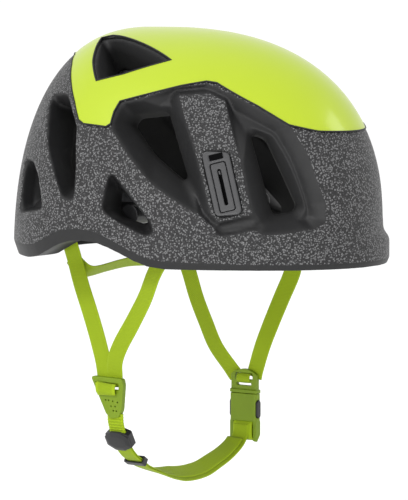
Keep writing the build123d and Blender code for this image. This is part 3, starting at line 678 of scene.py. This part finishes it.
def distance_inside(outline, u, v):
    """Distance to an outline's edge, positive inside it."""
    nearest = np.full(u.shape, 1.0)
    inside = np.zeros(u.shape, bool)
    for (a, b), (c, d) in zip(outline, outline[1:] + outline[:1]):
        part = ((u - a) * (c - a) + (v - b) * (d - b)) / ((c - a) ** 2 + (d - b) ** 2)
        part = np.clip(part, 0, 1)
        nearest = np.minimum(nearest, np.hypot(u - a - part * (c - a), v - b - part * (d - b)))
        if b != d:
            inside ^= ((b > v) != (d > v)) & (u < a + (v - b) * (c - a) / (d - b))
    return np.where(inside, nearest, -nearest)


def recess_depth(p):
    """How far under the dome the recess round the lamp clip lies."""
    u, v, w = in_plane(p, CLIP_ORIGIN, CLIP_ACROSS, CLIP_UP, CLIP_OUT)
    deep = np.minimum(distance_inside(RECESS, u, v), -distance_inside(PILLAR, u, v)) * RECESS_SLOPE
    return np.where(w > -FLANK_DEPTH, np.clip(deep, 0, RECESS_DEPTH), 0)


def dome_reach(p):
    """How far points lie from the dome's upright axis, and how far the dome reaches in their direction."""
    x, y, z = p.T
    level = np.clip(z, 0, HEIGHT) / HEIGHT
    half = HALF_WIDTH * np.clip(1 - level ** SIDE_POWER, 0.001, 1) ** (1 / SIDE_POWER)
    up = np.clip(z - BROW_HEIGHT, 0, None) / (HEIGHT - BROW_HEIGHT)
    front = FRONT_REACH * np.clip(1 - up ** FRONT_POWER, 0.001, 1) ** (1 / FRONT_POWER)
    up = np.clip(z + REAR_CURL, 0, None) / (HEIGHT + REAR_CURL)
    rear = REAR_REACH * np.clip(1 - up ** REAR_POWER, 0.001, 1) ** (1 / REAR_POWER)
    back = y - WIDEST_Y
    radius = np.hypot(x, back)
    return radius, radius / np.maximum(np.hypot(x / half, back / np.where(back > 0, rear, front)), 0.01)


def narrowed(p):
    """The points with the throats of the rear vents drawn in below their mouths."""
    radius, limit = dome_reach(p)
    u, v, w = in_plane(p, REAR_VENT_ORIGIN, REAR_VENT_ACROSS, REAR_VENT_UP, REAR_VENT_OUT)
    u = u - REAR_VENT_MIDDLE
    share = THROAT_SHARE * np.clip(1 - (np.hypot(u, v) - THROAT_RADIUS) / THROAT_FADE, 0, 1)
    share = share * np.clip((limit - radius - MOUTH_DEPTH) / MOUTH_FADE, 0, 1)
    share = np.where(w > -VENT_REACH, share, 0)[:, None]
    step = -(u[:, None] * np.array(REAR_VENT_ACROSS) + v[:, None] * np.array(REAR_VENT_UP)) * share
    step[:, 0] *= -np.sign(p[:, 0])
    return p + step


# ---- the pieces ----
class HELMET_OT_foam(bpy.types.Operator):
    """Foam shell with softened moulded edges and a smooth band round the rim"""

    bl_idname = "helmet.foam"
    bl_label = "Foam shell"

    def execute(self, context):
        mesh = mesh_of(merged_copy("foam_shell"), "foam")
        mesh = softened(remeshed(mesh, sizes().foam_grid), sizes().foam_softening)
        p = narrowed(points_of(mesh))
        x, y, z = p.T
        rim = np.interp(y, *zip(*RIM_LINE))
        band_height = np.interp(y, *zip(*BAND_LINE))
        back = y - WIDEST_Y
        radius, limit = dome_reach(p)
        fade = np.clip((z - LIP_TOP) / LIP_FADE, 0, 1)
        lip_reach = LIP_REACH - fade * LIP_TAPER
        lip = radius / np.maximum(np.hypot(x / LIP_SIDE, back / lip_reach), 0.01)
        limit = np.where((back < 0) & (fade < 1), np.maximum(limit, lip), limit)
        above = (z - rim) / band_height
        lean = sizes().rim_cut * np.clip(1 - above, 0, 1)
        lean = lean * np.clip(band_height / BAND_FULL, BAND_LEAST, 1)
        deep = recess_depth(p)
        radius_now = np.minimum(radius, limit - lean - deep)
        shaped = ((above < 1) | (deep > 0)) & (radius > AXIS_RADIUS)
        scale = np.where(shaped, radius_now / np.maximum(radius, 1e-6), 1.0)
        p[:, 0] = x * scale
        p[:, 1] = WIDEST_Y + back * scale
        mesh.vertices.foreach_set("co", p.ravel())
        layer = mesh.attributes.new("above_rim", "FLOAT", "POINT")
        layer.data.foreach_set("value", above)
        mesh.update()
        settle(new_object("foam", mesh), "shell", "foam", "foam", "foam_shell")
        return {"FINISHED"}


class HELMET_OT_cap(bpy.types.Operator):
    """Crown cap, and a thin dark tube that runs round it and its vents as painted shadow for the gap where
    the cap meets the foam
    """

    bl_idname = "helmet.cap"
    bl_label = "Crown cap"

    def execute(self, context):
        bm = merged_copy("crown_cap")
        # painted shadow: the cap's sharp outer edges get a near-black tube for the shadow line where the cap
        # meets the foam
        edges = [
            e for e in bm.edges
            if len(e.link_faces) == 2 and e.calc_face_angle(0) > SEAM_ANGLE
            and depth_at((e.verts[0].co + e.verts[1].co) / 2) < SEAM_DEPTH
        ]
        line = bmesh.new()
        made = {}
        for e in edges:
            ends = []
            for v in e.verts:
                if v.index not in made:
                    made[v.index] = line.verts.new(v.co)
                ends.append(made[v.index])
            line.edges.new(ends)
        mesh = bpy.data.meshes.new("seam_shadow_line")
        line.to_mesh(mesh)
        line.free()
        holder = new_object("seam_shadow_line", mesh)
        chosen = {"selected_objects": [holder], "selected_editable_objects": [holder]}
        with bpy.context.temp_override(active_object=holder, object=holder, **chosen):
            bpy.ops.object.convert(target="CURVE")
        curve = holder.data
        curve.bevel_depth = sizes().seam_radius
        curve.bevel_resolution = 2
        graph = bpy.context.evaluated_depsgraph_get()
        graph.update()
        seam = bpy.data.meshes.new_from_object(holder.evaluated_get(graph))
        bpy.data.objects.remove(holder)
        seam.name = "cap_seam_shadow"
        settle(new_object("cap_seam_shadow", seam), "shell", "seam", "black_plastic")
        mesh = mesh_of(bm, "cap")
        shade_by_angle(mesh, 35)
        settle(new_object("cap", mesh), "shell", "cap", "cap", "crown_cap")
        return {"FINISHED"}


def depth_at(point):
    """Depth of one point under the outer dome."""
    radius, limit = dome_reach(np.array([point]))
    return float(limit[0] - radius[0])


class HELMET_OT_clips(bpy.types.Operator):
    """Lamp clips: a base let into each temple and its tongue"""

    bl_idname = "helmet.clips"
    bl_label = "Lamp clips"

    def execute(self, context):
        for side in ("right", "left"):
            for part, body, grid in (("base", "shell", 0.0004), ("tongue", "clip_" + side, 0.00035)):
                node = "clip_%s_%s" % (part, side)
                moulded(node + "_moulding", node, body, "clip", "clip", grid, 2)
            self.plate("clip_label_" + side, side, *LABEL_PLATE)
            # painted shade: a near-black plate lies in the slot
            self.plate("clip_slot_" + side, side, *SLOT_PLATE)
        return {"FINISHED"}

    def plate(self, name, side, low, high):
        """A thin black plate in the clip's plane, between two corners (across, up, out)."""
        bm = bmesh.new()
        bmesh.ops.create_cube(bm, size=1)
        for v in bm.verts:
            u, w, h = (a + (b - a) * (c + 0.5) for a, b, c in zip(low, high, v.co))
            v.co = CLIP_ORIGIN + CLIP_ACROSS * u + CLIP_UP * w + CLIP_OUT * h
            if side == "left":
                v.co.x = -v.co.x
        settle(new_object(name, mesh_of(bm, name)), "shell", "slot_shade_and_label", "black_plastic")


class HELMET_OT_cradle(bpy.types.Operator):
    """Strap anchors, pivot posts, cradle arms and the nape bridge"""

    bl_idname = "helmet.cradle"
    bl_label = "Cradle"

    def execute(self, context):
        for body, nodes in (
            ("shell", ("anchor_front_right", "anchor_front_left", "anchor_rear_right", "anchor_rear_left")),
            ("shell", ("pivot_posts",)),
            ("cradle", ("cradle_arm_right", "cradle_arm_left")),
            ("bridge", ("nape_bridge",)),
        ):
            for node in nodes:
                moulded(node + "_moulding", node, body, "black", "black_plastic", 0.0006, 2)
        return {"FINISHED"}


def filled_pad(name, node, body):
    """A fabric pad, swollen by a short cloth run."""
    mesh = remeshed(mesh_of(merged_copy(node), name), 0.0024)
    mesh = softened(mesh, 3)
    pad = new_object(name, mesh)
    start = points_of(mesh).copy()
    cloth = pad.modifiers.new("fill", "CLOTH")
    cloth.settings.use_pressure = True
    cloth.settings.uniform_pressure_force = 4.0
    cloth.settings.effector_weights.gravity = 0.0
    scene = bpy.context.scene
    for number in range(1, 21):
        scene.frame_set(number)
    graph = bpy.context.evaluated_depsgraph_get()
    filled = bpy.data.meshes.new_from_object(pad.evaluated_get(graph))
    pad.modifiers.clear()
    pad.data = filled
    scene.frame_set(1)
    moved = points_of(filled)
    shift = moved - start
    length = np.maximum(np.linalg.norm(shift, axis=1), 1e-9)
    share = np.minimum(length, sizes().pad_swell) / length
    filled.vertices.foreach_set("co", (start + shift * share[:, None]).ravel())
    filled.update()
    finer = pad.modifiers.new("finer", "SUBSURF")
    finer.levels = 1
    finer.render_levels = 1
    for face in pad.data.polygons:
        face.use_smooth = True
    settle(pad, body, "pad", "pad_fabric", node)


class HELMET_OT_pads(bpy.types.Operator):
    """Comfort pads at the brow, the crown and the nape"""

    bl_idname = "helmet.pads"
    bl_label = "Comfort pads"

    def execute(self, context):
        filled_pad("brow_pad_cushion", "brow_pad", "shell")
        filled_pad("crown_pad_cushion", "crown_pad", "shell")
        filled_pad("nape_pad_cushion", "nape_pad", "bridge")
        return {"FINISHED"}


STRAPS = {
    "strap_front_right": (
        ((-0.084, -0.038, 0.024), (-0.084, -0.0285, 0.007), (-0.084, -0.0205, -0.006),
         (-0.0826, -0.0123, -0.0222),
         (-0.0812, -0.0012, -0.0394), (-0.0792, 0.0110, -0.0565), (-0.0775, 0.0168, -0.0680),
         (-0.0752, 0.0185, -0.0785), (-0.0756, 0.0185, -0.0860)),
        ((0.25, 0.85, 0.45), (0.0, 1.0, 0.0)),
    ),
    "strap_rear_right": (
        ((-0.074, 0.063, 0.022), (-0.070, 0.0605, 0.009), (-0.067, 0.0587, -0.0025),
         (-0.069, 0.0516, -0.0187),
         (-0.071, 0.0436, -0.0348), (-0.073, 0.0361, -0.0508), (-0.0750, 0.0295, -0.0668),
         (-0.0752, 0.0272, -0.0785), (-0.0756, 0.0262, -0.0842)),
        ((0.0, 1.0, -0.2), (0.0, 1.0, 0.0)),
    ),
    "strap_front_left": (
        ((0.084, -0.038, 0.024), (0.084, -0.031, 0.007), (0.084, -0.0250, -0.006), (0.084, -0.0217, -0.0181),
         (0.083, -0.0137, -0.0358), (0.082, -0.0058, -0.0537), (0.081, 0.0014, -0.0715),
         (0.0815, 0.0076, -0.0890), (0.0822, 0.0095, -0.0950)),
        ((-0.25, 0.85, 0.45), (0.0, 1.0, 0.15)),
    ),
    "strap_rear_left": (
        ((0.074, 0.063, 0.022), (0.070, 0.064, 0.009), (0.067, 0.0630, -0.0025), (0.067, 0.0562, -0.0210),
         (0.0702, 0.0523, -0.0386), (0.0735, 0.0465, -0.0562), (0.0768, 0.0399, -0.0737),
         (0.0812, 0.0300, -0.0890), (0.0822, 0.0255, -0.0950)),
        ((0.0, 1.0, -0.2), (0.0, 1.0, -0.15)),
    ),
}
CHIN = (
    (-0.0742, -0.1167), (-0.0712, -0.1219), (-0.0677, -0.1280), (-0.0609, -0.1348), (-0.0532, -0.1395),
    (-0.0456, -0.1442), (-0.032, -0.1492), (-0.017, -0.1537), (0.0, -0.1565), (0.014, -0.1573),
    (0.028, -0.1563),
    (0.042, -0.1528), (0.0546, -0.149), (0.066, -0.1440), (0.0722, -0.1396), (0.0752, -0.1350),
    (0.0755, -0.1290),
)
CHIN_Y = 0.017
ADJUSTER_AT = Vector((-0.0712, CHIN_Y, -0.1219))
ADJUSTER_ALONG = Vector((0.5, 0, -0.866))
CHIN_ACROSS = (
    (0.0, 1.0, 0.0), (0.0, 1.0, 0.0), (0.0, 1.0, 0.12), (0.0, 0.84, 0.54), (0.0, 0.86, 0.50),
    (0.0, 0.93, 0.36),
    (0.0, 1.0, 0.1),
)


def bar_tacks(part):
    """Thickness of the lower strap along its length, raised at each bar tack."""
    return 0.8 + 0.45 * max(0.0, math.sin(part * math.pi * 13))


def chin_points(lift, first=0, last=None):
    """The chin line's points, lifted off the line by some thicknesses."""
    chosen = CHIN[first:last]
    points = []
    for i, (x, z) in enumerate(chosen):
        a = chosen[max(i - 1, 0)]
        b = chosen[min(i + 1, len(chosen) - 1)]
        size = math.hypot(b[0] - a[0], b[1] - a[1])
        points.append((x - (b[1] - a[1]) / size * lift, CHIN_Y, z + (b[0] - a[0]) / size * lift))
    return points


class HELMET_OT_webbing(bpy.types.Operator):
    """Harness webbing: four straps, the nape strap and the chin strap"""

    bl_idname = "helmet.webbing"
    bl_label = "Harness webbing"

    def execute(self, context):
        for name, (points, across) in STRAPS.items():
            strap(name + "_webbing", "shell", "webbing", name, band(points, across, 90))
        self.nape()
        self.loops()
        self.chin()
        return {"FINISHED"}

    def nape(self):
        line = ((-0.0643, 0.009), (-0.0642, 0.003), (-0.060, -0.0032), (-0.050, -0.004), (-0.025, -0.0015))
        flat = [*line, (0.0, 0.0), *((-u, v) for u, v in reversed(line))]
        points = [(u, 0.0575 + v * 0.63, -0.0065 + v * 0.77) for u, v in flat]
        strap("nape_webbing", "shell", "webbing", "nape_strap", band(points, (0.0, -0.77, 0.63), 110))

    def loops(self):
        # the rear strap comes forward through the divider's slot and tucks in over the bar below
        points = ((-0.0756, 0.0232, -0.0825), (-0.0772, 0.0234, -0.0840), (-0.0795, 0.0232, -0.0838),
                  (-0.0806, 0.0230, -0.0860), (-0.0806, 0.0228, -0.0890), (-0.0796, 0.0226, -0.0912))
        loop = band(points, (0.0, 1.0, 0.1), 50, width=0.0165)
        strap("divider_loop_webbing", "shell", "webbing", "divider_loop", loop)
        points = ((0.0822, 0.016, -0.0925), (0.0808, 0.016, -0.0935), (0.0786, 0.016, -0.0928),
                  (0.0772, 0.016, -0.0945), (0.0773, 0.016, -0.0972), (0.0790, 0.016, -0.0988))
        loop = band(points, (0.0, 1.0, 0.0), 50, width=0.0115)
        strap("buckle_loop_webbing", "shell", "webbing", "buckle_loop", loop)
        thickness = sizes().webbing_thickness
        wrap = ring_band((0.0796, 0.016, -0.1335), 0.0031, 0.0064, (0, 1, 0), 0.0166, thickness)
        strap("ladder_wrap_webbing", "buckle", "webbing", "ladder_wrap", wrap)
        points = ((-0.077, CHIN_Y, -0.1040), (-0.0766, CHIN_Y, -0.1100), (-0.0742, CHIN_Y, -0.1170))
        ribs = band(points, (0.0, 1.0, 0.0), 120, thickness=thickness * 1.9, rise=bar_tacks)
        strap("lower_webbing", "shell", "stitched", "lower_strap", ribs)

    def chin(self):
        half = sizes().webbing_thickness / 2
        under = band(chin_points(-half), CHIN_ACROSS, 170)
        tail = band(chin_points(half * 1.05, 0, 15), CHIN_ACROSS, 150, shift=0.0022)
        mesh = mesh_of(joined(under, tail), "chin_webbing")
        webbing = new_object(mesh.name, mesh)
        webbing.data.materials.append(finish("webbing"))
        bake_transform(webbing)
        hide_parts("chin_strap", "strap_tail")


class HELMET_OT_hardware(bpy.types.Operator):
    """Divider, adjuster, keeper, buckle and its release tabs"""

    bl_idname = "helmet.hardware"
    bl_label = "Harness hardware"

    def execute(self, context):
        grid = sizes().plastic_grid
        moulded("divider_moulding", "strap_divider", "shell", "green", "green_plastic", grid, 2)
        moulded("buckle_male_moulding", "buckle_male", "shell", "green", "green_plastic", grid, 2)
        moulded("buckle_female_moulding", "buckle_female", "buckle", "green", "green_plastic", grid, 2)
        body = moulded("adjuster_body", "strap_adjuster", "shell", "black", "black_plastic", grid, 3)
        for v in body.data.vertices:
            reach = (v.co - ADJUSTER_AT).dot(ADJUSTER_ALONG)
            taper = min(max((abs(v.co.y - CHIN_Y) - 0.004) / 0.006, 0), 1)
            v.co -= ADJUSTER_ALONG * reach * taper * 0.35
        moulded("keeper_moulding", "strap_keeper", "keeper", "black", "black_plastic", 0.0003, 2)
        for side in ("front", "rear"):
            moulded("release_tab_%s_moulding" % side, "release_tab_" + side, "tab_" + side, "black",
                    "black_plastic", 0.00028, 2)
        self.adjuster_face()
        return {"FINISHED"}

    def adjuster_face(self):
        """Faceted plate on the adjuster's outer side."""
        bm = bmesh.new()
        bmesh.ops.create_circle(bm, cap_ends=True, segments=8, radius=1)
        outline = ((-0.0036, -0.0100), (0.0036, -0.0100), (0.0076, -0.0040), (0.0076, 0.0040),
                   (0.0036, 0.0100),
                   (-0.0036, 0.0100), (-0.0076, 0.0040), (-0.0076, -0.0040))
        for v, (u, w) in zip(bm.verts, outline):
            v.co = (u, w, 0)
        raised = bmesh.ops.extrude_face_region(bm, geom=bm.faces[:])
        top = [g for g in raised["geom"] if isinstance(g, bmesh.types.BMVert)]
        bmesh.ops.translate(bm, verts=top, vec=(0, 0, 0.0012))
        cap = [g for g in raised["geom"] if isinstance(g, bmesh.types.BMFace)]
        raised = bmesh.ops.inset_region(bm, faces=cap, thickness=0.0032, depth=0.0009)
        bmesh.ops.bevel(
            bm, geom=bm.edges[:], offset=0.0004, affect="EDGES", segments=2, profile=0.5, material=-1
        )
        along = ADJUSTER_ALONG
        out = Vector((-0.866, 0, -0.5))
        centre = ADJUSTER_AT + out * 0.0029
        for v in bm.verts:
            u, w, h = v.co
            v.co = centre + along * u + Vector((0, 1, 0)) * w + out * h
        mesh = mesh_of(bm, "adjuster_face")
        shade_by_angle(mesh, 25)
        settle(new_object(mesh.name, mesh), "shell", "black", "black_plastic")


# ---- stage ----
CAMERA_DISTANCE = 2.2
CAMERA_ASIDE = 0.0028
CAMERA_RISE = 0.0041
LENS = 225.8
SENSOR = 36
FLOOR_DROP = 0.060
FLOOR_SIZE = 6.0
SKY_STRENGTH = 1.06
# name, place, size in metres, power in watts
LIGHTS = (
    ("key", (-1.8, 0.5, 1.8), 0.4, 23),
    ("brow", (1.3, -1.7, 1.5), 0.8, 8),
    ("low", (-1.8, -0.6, -0.15), 0.8, 17),
)
CAMERA_BACK = Vector((-0.8160, -0.5714, 0.0872))
CAMERA_RIGHT = Vector((0.5736, -0.8192, 0.0))
CAMERA_UP = Vector((0.0714, 0.0500, 0.9962))


class HELMET_OT_stage(bpy.types.Operator):
    """Pale floor, soft studio lights and the camera"""

    bl_idname = "helmet.stage"
    bl_label = "Studio stage"

    def execute(self, context):
        bm = bmesh.new()
        bmesh.ops.create_grid(bm, x_segments=4, y_segments=4, size=FLOOR_SIZE)
        bmesh.ops.translate(bm, verts=bm.verts, vec=(0, 0, CAD_BOX[0][2] - FLOOR_DROP))
        mesh = mesh_of(bm, "floor")
        floor = new_object("floor", mesh)
        f = Finish("pale floor")
        tone = f.blend(f.grain(f.place(), 3.0), (0.965, 0.965, 0.965), (0.975, 0.975, 0.975))
        floor.data.materials.append(f.surface(Base_Color=tone, Roughness=0.9, Specular_IOR_Level=0.1))
        world = bpy.data.worlds.new("studio")
        world.use_nodes = True
        sky = world.node_tree.nodes["Background"]
        sky.inputs[0].default_value = (1, 1, 1, 1)
        sky.inputs[1].default_value = SKY_STRENGTH
        context.scene.world = world
        context.scene.view_settings.view_transform = "Standard"
        for light in LIGHTS:
            self.light(*light)
        lens = bpy.data.cameras.new("camera")
        lens.sensor_fit = "VERTICAL"
        lens.sensor_height = SENSOR
        lens.sensor_width = SENSOR
        lens.lens = LENS
        lens.clip_end = 50
        camera = bpy.data.objects.new("camera", lens)
        aim = CAMERA_RIGHT * CAMERA_ASIDE + CAMERA_UP * CAMERA_RISE
        camera.location = aim + CAMERA_BACK * CAMERA_DISTANCE
        camera.rotation_euler = CAMERA_BACK.to_track_quat("Z", "Y").to_euler()
        context.scene.collection.objects.link(camera)
        context.scene.camera = camera
        return {"FINISHED"}

    def light(self, name, place, size, power):
        lamp = bpy.data.lights.new(name, "AREA")
        lamp.size = size
        lamp.energy = power
        made = bpy.data.objects.new(name, lamp)
        made.location = place
        made.rotation_euler = Vector(place).to_track_quat("Z", "Y").to_euler()
        bpy.context.scene.collection.objects.link(made)


STEPS = (
    HELMET_OT_stage, HELMET_OT_foam, HELMET_OT_cap, HELMET_OT_clips, HELMET_OT_cradle, HELMET_OT_pads,
    HELMET_OT_webbing, HELMET_OT_hardware,
)


class HELMET_PT_sidebar(bpy.types.Panel):
    """The helmet's sizes, colours and steps"""

    bl_idname = "HELMET_PT_sidebar"
    bl_label = "Climbing helmet"
    bl_space_type = "VIEW_3D"
    bl_region_type = "UI"
    bl_category = "Helmet"

    def draw(self, context):
        for group in (context.scene.helmet_sizes, context.scene.helmet_colours):
            for name in group.__annotations__:
                self.layout.prop(group, name)
        for step in STEPS:
            self.layout.operator(step.bl_idname)


CLASSES = (HelmetSizes, HelmetColours, *STEPS, HELMET_PT_sidebar)


def register():
    for item in CLASSES:
        bpy.utils.register_class(item)
    bpy.types.Scene.helmet_sizes = PointerProperty(type=HelmetSizes)
    bpy.types.Scene.helmet_colours = PointerProperty(type=HelmetColours)


def unregister():
    del bpy.types.Scene.helmet_colours
    del bpy.types.Scene.helmet_sizes
    for item in reversed(CLASSES):
        bpy.utils.unregister_class(item)


def main():
    register()
    for step in STEPS:
        group, name = step.bl_idname.split(".")
        getattr(getattr(bpy.ops, group), name)()


if __name__ == "__main__":
    main()
